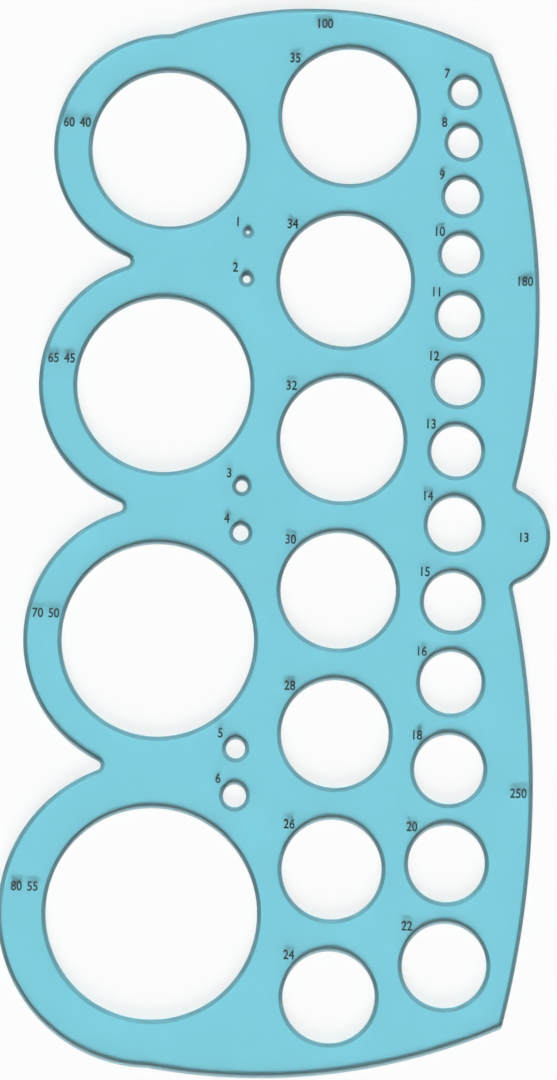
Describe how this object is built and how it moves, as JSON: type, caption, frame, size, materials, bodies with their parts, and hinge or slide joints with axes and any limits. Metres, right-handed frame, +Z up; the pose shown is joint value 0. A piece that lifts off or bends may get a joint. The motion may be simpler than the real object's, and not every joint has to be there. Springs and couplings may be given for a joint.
{
  "type": "circle and arc drawing template",
  "caption": "Flat sheet of tinted clear plastic with round openings in whole millimetres and an edge of circular arcs, used to draw circles and arcs.",
  "frame": {"origin": "middle of the sheet's outline, on its underside", "axes": "+Y along the sheet towards its narrow end, +X towards the edge with the long arcs, +Z up out of the face that carries the figures"},
  "size_m": [0.1414, 0.2782, 0.0015],
  "materials": {
    "tinted_plastic": "smooth and see-through, light cyan tint"
  },
  "bodies": {
    "root": {"template_sheet": "tinted_plastic"}
  },
  "joints": []
}
